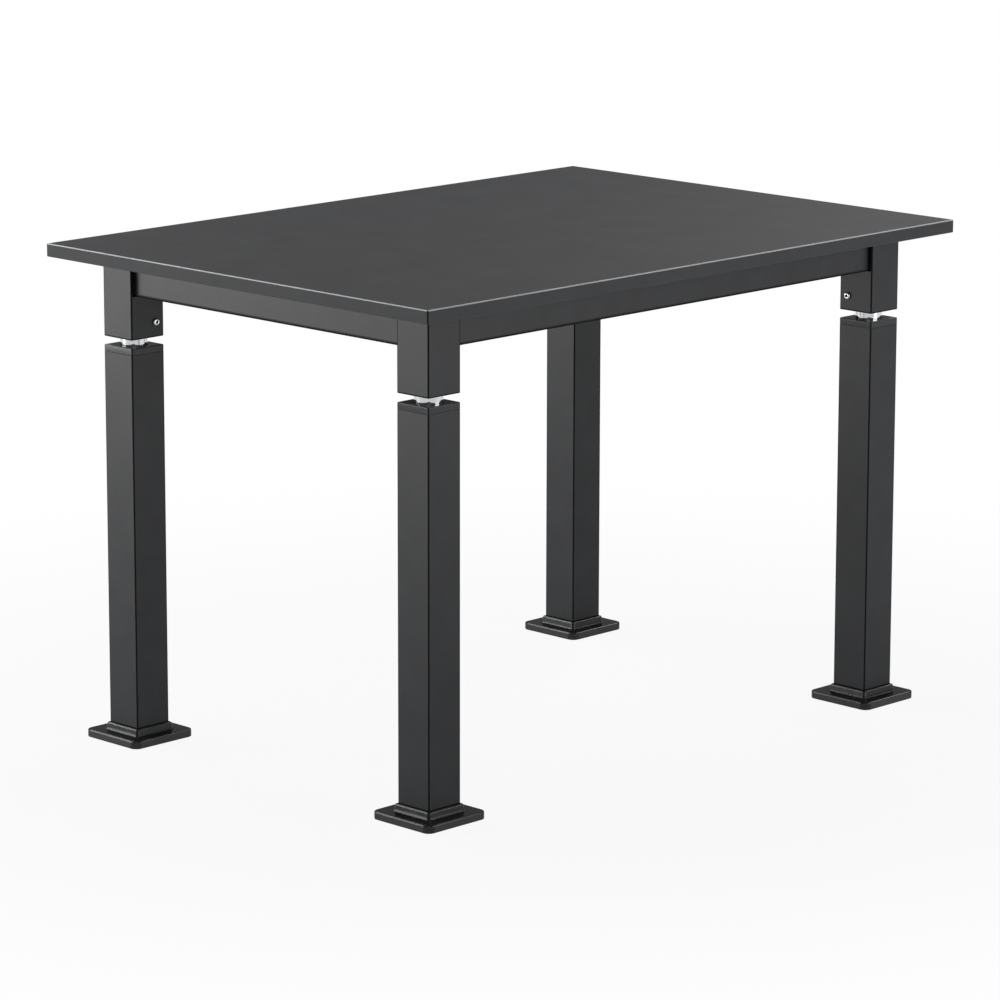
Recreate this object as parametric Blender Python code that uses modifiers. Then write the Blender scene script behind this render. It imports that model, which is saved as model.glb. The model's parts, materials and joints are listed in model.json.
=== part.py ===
"""Height-adjustable laboratory table, shown at its lowest setting.

A dark resin worktop lies on a ring of four steel rails. The rails enter four short square posts
through notches. A four-lobed aluminium column hangs from each post and slides in a square lower
tube, and a lift rod that stands in the tube's foot pushes up in the column's bored core.
Lengths are in metres, +Z is up, and the origin lies on the floor under the worktop's centre.
"""

import math

import bmesh
import bpy

# Worktop
TOP_LENGTH = 1.0668
TOP_WIDTH = 0.762
TOP_THICKNESS = 0.019
TOP_EASED_EDGE = 0.0012
TABLE_HEIGHT = 0.7144
TOP_OVERHANG = 0.05565

# Rails and posts
LEG_WIDTH = 0.0592
LEG_EDGE_RADIUS = 0.0012
LEG_BORE_RADIUS = 0.0006
POST_DROP = 0.1126
POST_WALL = 0.0025
RAIL_HEIGHT = 0.0505
RAIL_THICKNESS = 0.025
RAIL_WALL = 0.002
RAIL_EDGE_RADIUS = 0.0012
RAIL_BORE_RADIUS = 0.0006
RAIL_RECESS = 0.00755
RAIL_ENTRY = 0.010

# Corner plates that carry the worktop
PLATE_THICKNESS = 0.004
PLATE_REACH = 0.120
PLATE_SCREW_INSET = 0.028
TOP_SCREW_DIAMETER = 0.006
TOP_SCREW_BITE = 0.011
TOP_SCREW_HEAD_DIAMETER = 0.012
TOP_SCREW_HEAD_HEIGHT = 0.0036
TOP_SCREW_HEAD_CHAMFER = 0.0016

# Screws through the inner faces of each post
SCREW_INSET = 0.0147
SCREW_RISE = 0.0218
SCREW_DIAMETER = 0.006
SCREW_BITE = 0.006
SCREW_HEAD_DIAMETER = 0.0105
SCREW_HEAD_HEIGHT = 0.0033
SCREW_HEAD_RIM = 0.0008
SCREW_CROWN_DIAMETER = 0.0062
SCREW_SOCKET_FLATS = 0.004
SCREW_SOCKET_DEPTH = 0.0021
SCREW_TIP_CHAMFER = 0.0008

# Block that holds the column in its post, and the hollow bolt that closes the core
BLOCK_RECESS = 0.002
BLOCK_HEIGHT = 0.044
BLOCK_ROOF = 0.008
BLOCK_EDGE_RADIUS = 0.0006
BOLT_FLATS = 0.024
BOLT_HEAD_HEIGHT = 0.007
BOLT_PLUG_LENGTH = 0.016
OIL_PORT_DIAMETER = 0.005

# Column section
COLUMN_GAP = 0.0118
GUIDE_WALL = 0.0046
CORE_BORE = 0.016
CORE_WALL = 0.003
LOBE_WALL = 0.005
PORT_WEB = 0.0025
GROOVE_WIDTH = 0.004
GROOVE_DEPTH = 0.003

# Lower leg
TUBE_WALL = 0.002
CAP_FLANGE = 0.0095
CAP_SPIGOT = 0.0495
CAP_EDGE = 0.001
GLIDE_HEIGHT = 0.1616
GLIDE_FLOOR = 0.008
GLIDE_EDGE_RADIUS = 0.0015
ROD_DIAMETER = 0.0148
ROD_HEADROOM = 0.010
ROD_CHAMFER = 0.001
ROD_FLANGE_DIAMETER = 0.026
ROD_FLANGE_HEIGHT = 0.006

# Foot
FOOT_WIDTH = 0.111
FOOT_CORNER_RADIUS = 0.011
FOOT_PLATE = 0.0115
FOOT_PLATE_EDGE = 0.0014
FOOT_STEP = 0.0006
FOOT_STEP_MARGIN = 0.00555
FOOT_STEP_RADIUS = 0.004
FOOT_STEP_EDGE = 0.0004
FOOT_COLLAR_HEIGHT = 0.0079
FOOT_COLLAR_MARGIN = 0.00305
FOOT_COLLAR_SLOPE = 0.0016
FOOT_COLLAR_EDGE = 0.0009
FOOT_FLOOR = 0.008
FOOT_PLUG_HEIGHT = 0.037

# Clearances
SEAT = 0.0003
SLIDE = 0.0004
SCREW_CLEARANCE = 0.0003

# Facets
CORNER_STEPS = 3
FOOT_CORNER_STEPS = 4
LOBE_STEPS = 4
HUB_STEPS = 2
BORE_STEPS = 16
SCREW_STEPS = 12
DOME_STEPS = 3
BORE_CORNER_STEPS = 1
EDGE_SEGMENTS = 2
STEP_EDGE_SEGMENTS = 1
ROUNDED_ABOVE = math.radians(50)
SMOOTH_BELOW = math.radians(35)
FLAT_BELOW = math.radians(0.5)
CUT_PAST = 0.001
WELD = 0.00001

# Heights that follow from the sizes above
TOP_UNDERSIDE = TABLE_HEIGHT - TOP_THICKNESS
FRAME_TOP = TOP_UNDERSIDE - SEAT
RAIL_BOTTOM = FRAME_TOP - RAIL_HEIGHT
POST_BOTTOM = TOP_UNDERSIDE - POST_DROP
CAP_TOP = POST_BOTTOM - COLUMN_GAP
TUBE_TOP = CAP_TOP - CAP_FLANGE - SEAT
BLOCK_BOTTOM = POST_BOTTOM + BLOCK_RECESS
BLOCK_TOP = BLOCK_BOTTOM + BLOCK_HEIGHT
COLUMN_TOP = BLOCK_TOP - BLOCK_ROOF - SEAT
BOLT_BOTTOM = COLUMN_TOP - BOLT_PLUG_LENGTH
PLUG_TOP = FOOT_FLOOR + FOOT_PLUG_HEIGHT
GLIDE_BOTTOM = PLUG_TOP + SEAT
COLUMN_BOTTOM = GLIDE_BOTTOM + GLIDE_FLOOR + SEAT
ROD_BOTTOM = PLUG_TOP - SEAT - ROD_FLANGE_HEIGHT
ROD_TOP = BOLT_BOTTOM - ROD_HEADROOM
STEP_TOP = FOOT_PLATE + FOOT_STEP
COLLAR_TOP = STEP_TOP + FOOT_COLLAR_HEIGHT

# Widths and places that follow, measured from a leg's axis
LEG_HALF = LEG_WIDTH / 2
POST_BORE = LEG_WIDTH - 2 * POST_WALL
TUBE_BORE = LEG_WIDTH - 2 * TUBE_WALL
RAIL_OUTER = LEG_HALF - RAIL_RECESS
RAIL_INNER = RAIL_THICKNESS - RAIL_OUTER
RAIL_END = LEG_HALF - POST_WALL - RAIL_ENTRY
SCREW_OFFSET = LEG_HALF - SCREW_INSET
SCREW_LENGTH = POST_WALL + SEAT + SCREW_BITE
COLUMN_REACH = TUBE_BORE / 2 - GUIDE_WALL
LOBE_RADIUS = (COLUMN_REACH + LOBE_WALL - PORT_WEB - CORE_BORE / 2) / 2
LOBE_CENTRE = COLUMN_REACH - LOBE_RADIUS
LOBE_PORT = LOBE_RADIUS - LOBE_WALL
HUB_RADIUS = CORE_BORE / 2 + CORE_WALL
LEG_X = TOP_LENGTH / 2 - TOP_OVERHANG - LEG_HALF
LEG_Y = TOP_WIDTH / 2 - TOP_OVERHANG - LEG_HALF
PLATE_HOLE = LEG_HALF + PLATE_SCREW_INSET

# Each corner's signs along X and Y, and the quarter turns that point its inner faces inwards
CORNERS = {
    "front_left": (-1, -1, 0),
    "front_right": (1, -1, 1),
    "rear_right": (1, 1, 2),
    "rear_left": (-1, 1, 3),
}

FINISHES = {
    "charcoal_resin": ("#46474A", 0.45, 0.0),
    "black_powder_coat": ("#3A3B3D", 0.42, 0.0),
    "drawn_aluminium": ("#C9CBCE", 0.28, 1.0),
    "black_nylon": ("#303133", 0.40, 0.0),
    "black_moulded_foot": ("#2B2C2E", 0.38, 0.0),
    "zinc_steel": ("#C4C8CB", 0.30, 1.0),
    "ground_steel": ("#B4B7BA", 0.22, 1.0),
}


def clear_scene():
    """Remove every object that the file already holds."""
    for item in list(bpy.data.objects):
        bpy.data.objects.remove(item, do_unlink=True)


def new_collection(name):
    """Add a collection to the scene."""
    group = bpy.data.collections.new(name)
    bpy.context.scene.collection.children.link(group)
    return group


def linear(channel):
    """Turn one sRGB channel, 0 to 1, into a linear one."""
    if channel <= 0.04045:
        return channel / 12.92
    return ((channel + 0.055) / 1.055) ** 2.4


def new_material(name, hex_colour, roughness, metallic):
    """Make a Principled material from a hex colour."""
    material = bpy.data.materials.new(name)
    material.use_nodes = True
    shader = material.node_tree.nodes["Principled BSDF"]
    channels = [linear(int(hex_colour[i:i + 2], 16) / 255) for i in (1, 3, 5)]
    shader.inputs["Base Color"].default_value = (*channels, 1.0)
    shader.inputs["Roughness"].default_value = roughness
    shader.inputs["Metallic"].default_value = metallic
    return material


class Workshop:
    """Shapes are cut here in a scratch collection, and only their meshes leave it."""

    def __init__(self):
        self.bench = new_collection("cutters")

    def add(self, mesh):
        """Put a mesh on the bench."""
        item = bpy.data.objects.new(mesh.name, mesh)
        item.hide_render = True
        item.display_type = "WIRE"
        self.bench.objects.link(item)
        return item

    def take(self, item):
        """Return an item's finished mesh in world space and clear it off the bench."""
        bpy.context.view_layer.update()
        ready = item.evaluated_get(bpy.context.evaluated_depsgraph_get())
        mesh = bpy.data.meshes.new_from_object(ready)
        mesh.transform(ready.matrix_world)
        bpy.data.objects.remove(item, do_unlink=True)
        return mesh

    def combine(self, item, others, operation):
        """Join other items to an item, or cut them out of it, and clear them away."""
        for other in others:
            modifier = item.modifiers.new(operation.lower(), "BOOLEAN")
            modifier.operation = operation
            modifier.solver = "EXACT"
            modifier.object = other
        result = self.add(self.take(item))
        for other in others:
            bpy.data.objects.remove(other, do_unlink=True)
        return result


def arc(centre, radius, start, end, steps):
    """Points along an arc, both ends included, with angles in degrees."""
    points = []
    for step in range(steps + 1):
        angle = math.radians(start + (end - start) * step / steps)
        points.append((centre[0] + radius * math.cos(angle), centre[1] + radius * math.sin(angle)))
    return points


def circle(radius, steps, centre=(0.0, 0.0)):
    """Points round a full circle."""
    return arc(centre, radius, 0.0, 360.0, steps)[:-1]


def rounded_rectangle(width, depth, radius, steps=CORNER_STEPS):
    """Outline of a rectangle about the origin with round corners."""
    points = []
    for index, (sx, sy) in enumerate(((1, 1), (-1, 1), (-1, -1), (1, -1))):
        centre = (sx * (width / 2 - radius), sy * (depth / 2 - radius))
        points += arc(centre, radius, 90 * index, 90 * index + 90, steps)
    return points


def rounded_square(width, radius, steps=CORNER_STEPS):
    """Outline of a square about the origin with round corners."""
    return rounded_rectangle(width, width, radius, steps)


def turned(point, quarter):
    """Turn a point by quarter turns about the origin."""
    x, y = point
    for _ in range(quarter):
        x, y = -y, x
    return x, y


def column_outline(grow=0.0, grooved=False):
    """Four round lobes on a round hub, each lobe with an optional groove down its tip."""
    radius = LOBE_RADIUS + grow
    hub = HUB_RADIUS + grow
    meet_x = (hub ** 2 + LOBE_CENTRE ** 2 - radius ** 2) / (2 * LOBE_CENTRE)
    meet_y = math.sqrt(hub ** 2 - meet_x ** 2)
    lobe_angle = math.degrees(math.atan2(meet_y, meet_x - LOBE_CENTRE))
    hub_angle = math.degrees(math.atan2(meet_y, meet_x))
    lip_angle = math.degrees(math.asin(GROOVE_WIDTH / 2 / radius))
    centre = (LOBE_CENTRE, 0.0)
    floor = COLUMN_REACH - GROOVE_DEPTH
    groove = [(floor, -GROOVE_WIDTH / 2), (floor, GROOVE_WIDTH / 2)] if grooved else []
    lobe = arc(centre, radius, -lobe_angle, -lip_angle, LOBE_STEPS) + groove
    lobe += arc(centre, radius, lip_angle, lobe_angle, LOBE_STEPS)
    between = arc((0.0, 0.0), hub, hub_angle, 90 - hub_angle, HUB_STEPS)[1:-1]
    points = []
    for quarter in range(4):
        points += [turned(point, quarter) for point in lobe + between]
    return points


def prism(shop, name, outlines, bottom, top):
    """Extrude flat outlines, the outer one first and then its holes, between two heights."""
    curve = bpy.data.curves.new(name, "CURVE")
    curve.dimensions = "2D"
    curve.fill_mode = "BOTH"
    curve.extrude = (top - bottom) / 2
    for outline in outlines:
        spline = curve.splines.new("POLY")
        spline.points.add(len(outline) - 1)
        for point, (x, y) in zip(spline.points, outline):
            point.co = (x, y, 0.0, 1.0)
        spline.use_cyclic_u = True
    item = bpy.data.objects.new(name, curve)
    item.location.z = (top + bottom) / 2
    shop.bench.objects.link(item)
    mesh = shop.take(item)
    shape = bmesh.new()
    shape.from_mesh(mesh)
    bmesh.ops.remove_doubles(shape, verts=shape.verts, dist=WELD)
    bmesh.ops.dissolve_limit(
        shape, angle_limit=FLAT_BELOW, verts=shape.verts, edges=shape.edges
    )
    bmesh.ops.recalc_face_normals(shape, faces=shape.faces)
    shape.to_mesh(mesh)
    shape.free()
    mesh.name = name
    return shop.add(mesh)


def box(shop, name, low, high):
    """A box between two opposite corners."""
    shape = bmesh.new()
    bmesh.ops.create_cube(shape, size=1.0)
    for vertex in shape.verts:
        vertex.co = [low[i] + (vertex.co[i] + 0.5) * (high[i] - low[i]) for i in range(3)]
    mesh = bpy.data.meshes.new(name)
    shape.to_mesh(mesh)
    shape.free()
    return shop.add(mesh)


def cylinder(shop, name, diameter, bottom, top, steps=BORE_STEPS, centre=(0.0, 0.0)):
    """An upright cylinder between two heights."""
    return prism(shop, name, [circle(diameter / 2, steps, centre)], bottom, top)


def hexagon(flats):
    """Outline of a hexagon of a given width across its flats."""
    return circle(flats / math.sqrt(3), 6)


def turned_solid(shop, name, profile, steps):
    """Turn a half profile of radius and height pairs, listed from top to bottom, round Z."""
    mesh = bpy.data.meshes.new(name)
    points = [(radius, 0.0, height) for radius, height in profile]
    mesh.from_pydata(points, [(i, i + 1) for i in range(len(points) - 1)], [])
    item = shop.add(mesh)
    screw = item.modifiers.new("turn", "SCREW")
    screw.steps = steps
    screw.render_steps = steps
    screw.use_merge_vertices = True
    screw.merge_threshold = WELD
    return shop.add(shop.take(item))


def round_edges(shop, item, width, segments=EDGE_SEGMENTS):
    """Round an item's square edges."""
    bevel = item.modifiers.new("round", "BEVEL")
    bevel.width = width
    bevel.segments = segments
    bevel.limit_method = "ANGLE"
    bevel.angle_limit = ROUNDED_ABOVE
    return shop.add(shop.take(item))


def taper(item, inset, half_width):
    """Draw the upper end of an item inwards by an inset."""
    top = max(vertex.co.z for vertex in item.data.vertices)
    share = 1 - inset / half_width
    for vertex in item.data.vertices:
        if vertex.co.z > top - CUT_PAST:
            vertex.co.x *= share
            vertex.co.y *= share
    return item


def lay_along_x(item):
    """Point an item's own +Z along +X."""
    item.rotation_euler = (0.0, math.pi / 2, 0.0)
    return item


def lay_along_y(item):
    """Point an item's own +Z along +Y."""
    item.rotation_euler = (-math.pi / 2, 0.0, 0.0)
    return item


def worktop(shop):
    """Slab with eased edges and a blind screw hole over each corner plate."""
    half = (TOP_LENGTH / 2, TOP_WIDTH / 2)
    slab = box(shop, "worktop", (-half[0], -half[1], TOP_UNDERSIDE), (*half, TABLE_HEIGHT))
    slab = round_edges(shop, slab, TOP_EASED_EDGE)
    hole = TOP_SCREW_DIAMETER + 2 * SCREW_CLEARANCE
    depth = TOP_UNDERSIDE + TOP_SCREW_BITE + SEAT
    holes = []
    for sx, sy, _ in CORNERS.values():
        centre = (sx * (LEG_X - PLATE_HOLE), sy * (LEG_Y - PLATE_HOLE))
        holes.append(cylinder(shop, "hole", hole, TOP_UNDERSIDE - CUT_PAST, depth, SCREW_STEPS, centre))
    return shop.take(shop.combine(slab, holes, "DIFFERENCE"))


def rail(shop, length):
    """Rectangular steel tube along X, with open ends, centred on its own section."""
    outer = rounded_rectangle(RAIL_HEIGHT, RAIL_THICKNESS, RAIL_EDGE_RADIUS)
    bore = (RAIL_HEIGHT - 2 * RAIL_WALL, RAIL_THICKNESS - 2 * RAIL_WALL)
    inner = rounded_rectangle(*bore, RAIL_BORE_RADIUS, BORE_CORNER_STEPS)
    return shop.take(lay_along_x(prism(shop, "rail", [outer, inner], -length / 2, length / 2)))


def corner_plate(shop):
    """Triangular plate between two rails, cut back round the post, with one screw hole."""
    rail_side = RAIL_INNER + SEAT
    post_side = LEG_HALF + SEAT
    tip = post_side + PLATE_REACH
    outline = [
        (post_side, rail_side), (tip, rail_side), (rail_side, tip), (rail_side, post_side),
        (post_side, post_side),
    ]
    hole = circle(TOP_SCREW_DIAMETER / 2 + SCREW_CLEARANCE, SCREW_STEPS, (PLATE_HOLE, PLATE_HOLE))
    return shop.take(prism(shop, "plate", [outline, hole], FRAME_TOP - PLATE_THICKNESS, FRAME_TOP))


def top_screw(shop):
    """Pan-head screw standing on its head, with its shank up into the worktop."""
    head = TOP_SCREW_HEAD_DIAMETER / 2
    shank = TOP_SCREW_DIAMETER / 2
    length = SEAT + PLATE_THICKNESS + SEAT + TOP_SCREW_BITE
    profile = [
        (0.0, length), (shank - SCREW_TIP_CHAMFER, length), (shank, length - SCREW_TIP_CHAMFER),
        (shank, 0.0), (head, 0.0), (head, TOP_SCREW_HEAD_CHAMFER - TOP_SCREW_HEAD_HEIGHT),
        (head - TOP_SCREW_HEAD_CHAMFER, -TOP_SCREW_HEAD_HEIGHT), (0.0, -TOP_SCREW_HEAD_HEIGHT),
    ]
    return shop.take(turned_solid(shop, "top_screw", profile, SCREW_STEPS))


def screw_holes(shop, depth):
    """Two cutters for the screws that come in through a post's inner faces at +X and +Y."""
    hole = SCREW_DIAMETER + 2 * SCREW_CLEARANCE
    start = LEG_HALF - depth
    end = LEG_HALF + CUT_PAST
    height = POST_BOTTOM + SCREW_RISE
    along_x = lay_along_x(cylinder(shop, "hole", hole, start, end, SCREW_STEPS))
    along_x.location = (0.0, SCREW_OFFSET, height)
    along_y = lay_along_y(cylinder(shop, "hole", hole, start, end, SCREW_STEPS))
    along_y.location = (SCREW_OFFSET, 0.0, height)
    return [along_x, along_y]


def post(shop):
    """Square tube whose two inner walls, at +X and +Y, are notched from the top for the rails."""
    outer = rounded_square(LEG_WIDTH, LEG_EDGE_RADIUS)
    inner = rounded_square(POST_BORE, LEG_BORE_RADIUS, BORE_CORNER_STEPS)
    tube = prism(shop, "post", [outer, inner], POST_BOTTOM, FRAME_TOP)
    near = SEAT - POST_BORE / 2
    far = RAIL_INNER + SEAT
    wall = (POST_BORE / 2 - CUT_PAST, LEG_HALF + CUT_PAST)
    bottom = RAIL_BOTTOM - SEAT
    top = FRAME_TOP + CUT_PAST
    notches = [
        box(shop, "notch", (wall[0], near, bottom), (wall[1], far, top)),
        box(shop, "notch", (near, wall[0], bottom), (far, wall[1], top)),
    ]
    cutters = notches + screw_holes(shop, POST_WALL + CUT_PAST)
    return shop.take(shop.combine(tube, cutters, "DIFFERENCE"))


def post_screw(shop):
    """Button-head socket screw along Z: its head stands above z = 0 and its shank runs down."""
    head = SCREW_HEAD_DIAMETER / 2
    crown = SCREW_CROWN_DIAMETER / 2
    shank = SCREW_DIAMETER / 2
    profile = [(0.0, SCREW_HEAD_HEIGHT)]
    for step in range(DOME_STEPS + 1):
        angle = math.pi / 2 * step / DOME_STEPS
        radius = crown + (head - crown) * math.sin(angle)
        height = SCREW_HEAD_RIM + (SCREW_HEAD_HEIGHT - SCREW_HEAD_RIM) * math.cos(angle)
        profile.append((radius, height))
    profile += [
        (head, 0.0), (shank, 0.0), (shank, SCREW_TIP_CHAMFER - SCREW_LENGTH),
        (shank - SCREW_TIP_CHAMFER, -SCREW_LENGTH), (0.0, -SCREW_LENGTH),
    ]
    screw = turned_solid(shop, "post_screw", profile, SCREW_STEPS)
    floor = SCREW_HEAD_HEIGHT - SCREW_SOCKET_DEPTH
    socket = prism(shop, "socket", [hexagon(SCREW_SOCKET_FLATS)], floor, SCREW_HEAD_HEIGHT + CUT_PAST)
    return shop.take(shop.combine(screw, [socket], "DIFFERENCE"))


def mounting_block(shop):
    """Block inside the post: a socket for the column from below and a bolt hole in its roof."""
    body = prism(
        shop, "block", [rounded_square(POST_BORE - 2 * SEAT, BLOCK_EDGE_RADIUS)],
        BLOCK_BOTTOM, BLOCK_TOP,
    )
    socket = prism(
        shop, "socket", [column_outline(SEAT)], BLOCK_BOTTOM - CUT_PAST, BLOCK_TOP - BLOCK_ROOF
    )
    bolt_hole = cylinder(shop, "hole", CORE_BORE, BLOCK_BOTTOM, BLOCK_TOP + CUT_PAST)
    depth = POST_WALL + SEAT + SCREW_BITE + SEAT
    cutters = [socket, bolt_hole] + screw_holes(shop, depth)
    return shop.take(shop.combine(body, cutters, "DIFFERENCE"))


def column_bolt(shop):
    """Hollow hexagon bolt through the block's roof that plugs the column's core."""
    head_bottom = BLOCK_TOP + SEAT
    head_top = head_bottom + BOLT_HEAD_HEIGHT
    head = prism(shop, "bolt", [hexagon(BOLT_FLATS)], head_bottom, head_top)
    plug = cylinder(shop, "plug", CORE_BORE - 2 * SEAT, BOLT_BOTTOM, head_bottom + CUT_PAST)
    bolt = shop.combine(head, [plug], "UNION")
    port = cylinder(
        shop, "port", OIL_PORT_DIAMETER, BOLT_BOTTOM - CUT_PAST, head_top + CUT_PAST, SCREW_STEPS
    )
    return shop.take(shop.combine(bolt, [port], "DIFFERENCE"))


def column(shop):
    """Extruded column: grooved lobes, a screw port in each lobe and a bored core."""
    outlines = [column_outline(0.0, True), circle(CORE_BORE / 2, BORE_STEPS)]
    for quarter in range(4):
        centre = turned((LOBE_CENTRE, 0.0), quarter)
        outlines.append(circle(LOBE_PORT, 2 * LOBE_STEPS, centre))
    return shop.take(prism(shop, "column", outlines, COLUMN_BOTTOM, COLUMN_TOP))


def column_glide(shop):
    """Long plastic shoe on the column's lower end. It slides in the tube, rests on the foot's plug
    at the lowest setting and stops under the cap's spigot at the highest."""
    top = GLIDE_BOTTOM + GLIDE_HEIGHT
    outline = rounded_square(TUBE_BORE - 2 * SLIDE, GLIDE_EDGE_RADIUS)
    body = prism(shop, "glide", [outline], GLIDE_BOTTOM, top)
    floor = GLIDE_BOTTOM + GLIDE_FLOOR
    socket = prism(shop, "socket", [column_outline(SEAT)], floor, top + CUT_PAST)
    rod_hole = cylinder(shop, "hole", ROD_DIAMETER + 2 * SLIDE, GLIDE_BOTTOM - CUT_PAST, top)
    return shop.take(shop.combine(body, [socket, rod_hole], "DIFFERENCE"))


def lift_rod(shop):
    """Ground rod with a base flange, reaching up into the column's core."""
    rod = ROD_DIAMETER / 2
    flange = ROD_FLANGE_DIAMETER / 2
    flange_top = ROD_BOTTOM + ROD_FLANGE_HEIGHT
    profile = [
        (0.0, ROD_TOP), (rod - ROD_CHAMFER, ROD_TOP), (rod, ROD_TOP - ROD_CHAMFER),
        (rod, flange_top), (flange, flange_top), (flange, ROD_BOTTOM), (0.0, ROD_BOTTOM),
    ]
    return shop.take(turned_solid(shop, "lift_rod", profile, BORE_STEPS))


def lower_tube(shop):
    """Square steel tube from the foot's floor to the cap."""
    outer = rounded_square(LEG_WIDTH, LEG_EDGE_RADIUS)
    inner = rounded_square(TUBE_BORE, LEG_BORE_RADIUS, BORE_CORNER_STEPS)
    return shop.take(prism(shop, "tube", [outer, inner], FOOT_FLOOR + SEAT, TUBE_TOP))


def tube_cap(shop):
    """Cap flush with the tube, with a spigot in it and an opening that guides the column."""
    flange_bottom = CAP_TOP - CAP_FLANGE
    outline = rounded_square(LEG_WIDTH, LEG_EDGE_RADIUS)
    flange = round_edges(shop, prism(shop, "cap", [outline], flange_bottom, CAP_TOP), CAP_EDGE)
    spigot_outline = rounded_square(TUBE_BORE - 2 * SEAT, LEG_EDGE_RADIUS)
    spigot_top = flange_bottom + CAP_FLANGE / 2
    spigot = prism(shop, "spigot", [spigot_outline], flange_bottom - CAP_SPIGOT, spigot_top)
    cap = shop.combine(flange, [spigot], "UNION")
    opening = prism(
        shop, "opening", [column_outline(SLIDE)],
        flange_bottom - CAP_SPIGOT - CUT_PAST, CAP_TOP + CUT_PAST,
    )
    return shop.take(shop.combine(cap, [opening], "DIFFERENCE"))


def foot(shop):
    """Stepped foot: a plate, a low step and a sloping collar round the tube, with a plug inside."""
    plate = prism(
        shop, "foot", [rounded_square(FOOT_WIDTH, FOOT_CORNER_RADIUS, FOOT_CORNER_STEPS)],
        0.0, FOOT_PLATE,
    )
    plate = round_edges(shop, plate, FOOT_PLATE_EDGE)
    step_width = LEG_WIDTH + 2 * FOOT_STEP_MARGIN
    step = prism(
        shop, "step", [rounded_square(step_width, FOOT_STEP_RADIUS)], FOOT_FLOOR, STEP_TOP
    )
    step = round_edges(shop, step, FOOT_STEP_EDGE, STEP_EDGE_SEGMENTS)
    collar_half = LEG_HALF + FOOT_COLLAR_MARGIN + FOOT_COLLAR_SLOPE
    collar = prism(
        shop, "collar", [rounded_square(2 * collar_half, FOOT_STEP_RADIUS)],
        FOOT_PLATE, COLLAR_TOP,
    )
    collar = round_edges(shop, taper(collar, FOOT_COLLAR_SLOPE, collar_half), FOOT_COLLAR_EDGE)
    body = shop.combine(plate, [step, collar], "UNION")
    pocket = prism(
        shop, "pocket", [rounded_square(LEG_WIDTH + 2 * SEAT, LEG_EDGE_RADIUS)],
        FOOT_FLOOR, COLLAR_TOP + CUT_PAST,
    )
    body = shop.combine(body, [pocket], "DIFFERENCE")
    plug = prism(
        shop, "plug", [rounded_square(TUBE_BORE - 2 * SEAT, LEG_EDGE_RADIUS)],
        FOOT_FLOOR - CUT_PAST, PLUG_TOP,
    )
    body = shop.combine(body, [plug], "UNION")
    seat = cylinder(
        shop, "seat", ROD_FLANGE_DIAMETER + 2 * SEAT, ROD_BOTTOM - SEAT, PLUG_TOP + CUT_PAST
    )
    return shop.take(shop.combine(body, [seat], "DIFFERENCE"))


class Assembly:
    """Places finished meshes as named objects under the table frame and the four legs."""

    def __init__(self, name):
        self.group = new_collection(name)
        self.materials = {key: new_material(key, *values) for key, values in FINISHES.items()}

    def anchor(self, name, location, quarter=0):
        """An empty that carries pieces, turned by quarter turns about Z."""
        empty = bpy.data.objects.new(name, None)
        empty.location = location
        empty.rotation_euler.z = quarter * math.pi / 2
        self.group.objects.link(empty)
        return empty

    def place(self, name, mesh, finish, parent, location=(0.0, 0.0, 0.0), rotation=(0.0, 0.0, 0.0)):
        """Add one piece as an object of its own."""
        mesh.materials.clear()
        mesh.materials.append(self.materials[finish])
        mesh.shade_smooth()
        mesh.set_sharp_from_angle(angle=SMOOTH_BELOW)
        item = bpy.data.objects.new(name, mesh)
        item.parent = parent
        item.location = location
        item.rotation_euler = rotation
        self.group.objects.link(item)


def place_frame(shop, table):
    """Worktop and the ring of rails."""
    frame = table.anchor("table_frame", (0.0, 0.0, 0.0))
    table.place("worktop", worktop(shop), "charcoal_resin", frame)
    long_rail = rail(shop, 2 * (LEG_X - RAIL_END))
    short_rail = rail(shop, 2 * (LEG_Y - RAIL_END))
    middle = RAIL_BOTTOM + RAIL_HEIGHT / 2
    inset = RAIL_OUTER - RAIL_THICKNESS / 2
    for name, side in (("front", -1), ("rear", 1)):
        place = (0.0, side * (LEG_Y + inset), middle)
        table.place("rail_" + name, long_rail, "black_powder_coat", frame, place)
    for name, side in (("left", -1), ("right", 1)):
        place = (side * (LEG_X + inset), 0.0, middle)
        turn = (0.0, 0.0, math.pi / 2)
        table.place("rail_" + name, short_rail, "black_powder_coat", frame, place, turn)


def place_legs(shop, table):
    """The pieces of each corner, turned so that the screws and notches face inwards."""
    pieces = (
        ("corner_plate", corner_plate(shop), "black_powder_coat"),
        ("post", post(shop), "black_powder_coat"),
        ("mounting_block", mounting_block(shop), "drawn_aluminium"),
        ("column_bolt", column_bolt(shop), "zinc_steel"),
        ("column", column(shop), "drawn_aluminium"),
        ("column_glide", column_glide(shop), "black_nylon"),
        ("lift_rod", lift_rod(shop), "ground_steel"),
        ("lower_tube", lower_tube(shop), "black_powder_coat"),
        ("tube_cap", tube_cap(shop), "black_nylon"),
        ("foot", foot(shop), "black_moulded_foot"),
    )
    plate_screw = top_screw(shop)
    side_screw = post_screw(shop)
    face = LEG_HALF + SEAT
    height = POST_BOTTOM + SCREW_RISE
    for corner, (sx, sy, quarter) in CORNERS.items():
        leg = table.anchor("leg_" + corner, (sx * LEG_X, sy * LEG_Y, 0.0), quarter)
        for name, mesh, finish in pieces:
            table.place(name + "_" + corner, mesh, finish, leg)
        under_plate = (PLATE_HOLE, PLATE_HOLE, FRAME_TOP - PLATE_THICKNESS - SEAT)
        table.place("top_screw_" + corner, plate_screw, "zinc_steel", leg, under_plate)
        table.place(
            "post_screw_a_" + corner, side_screw, "zinc_steel", leg,
            (face, SCREW_OFFSET, height), (0.0, math.pi / 2, 0.0),
        )
        table.place(
            "post_screw_b_" + corner, side_screw, "zinc_steel", leg,
            (SCREW_OFFSET, face, height), (-math.pi / 2, 0.0, 0.0),
        )


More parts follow.
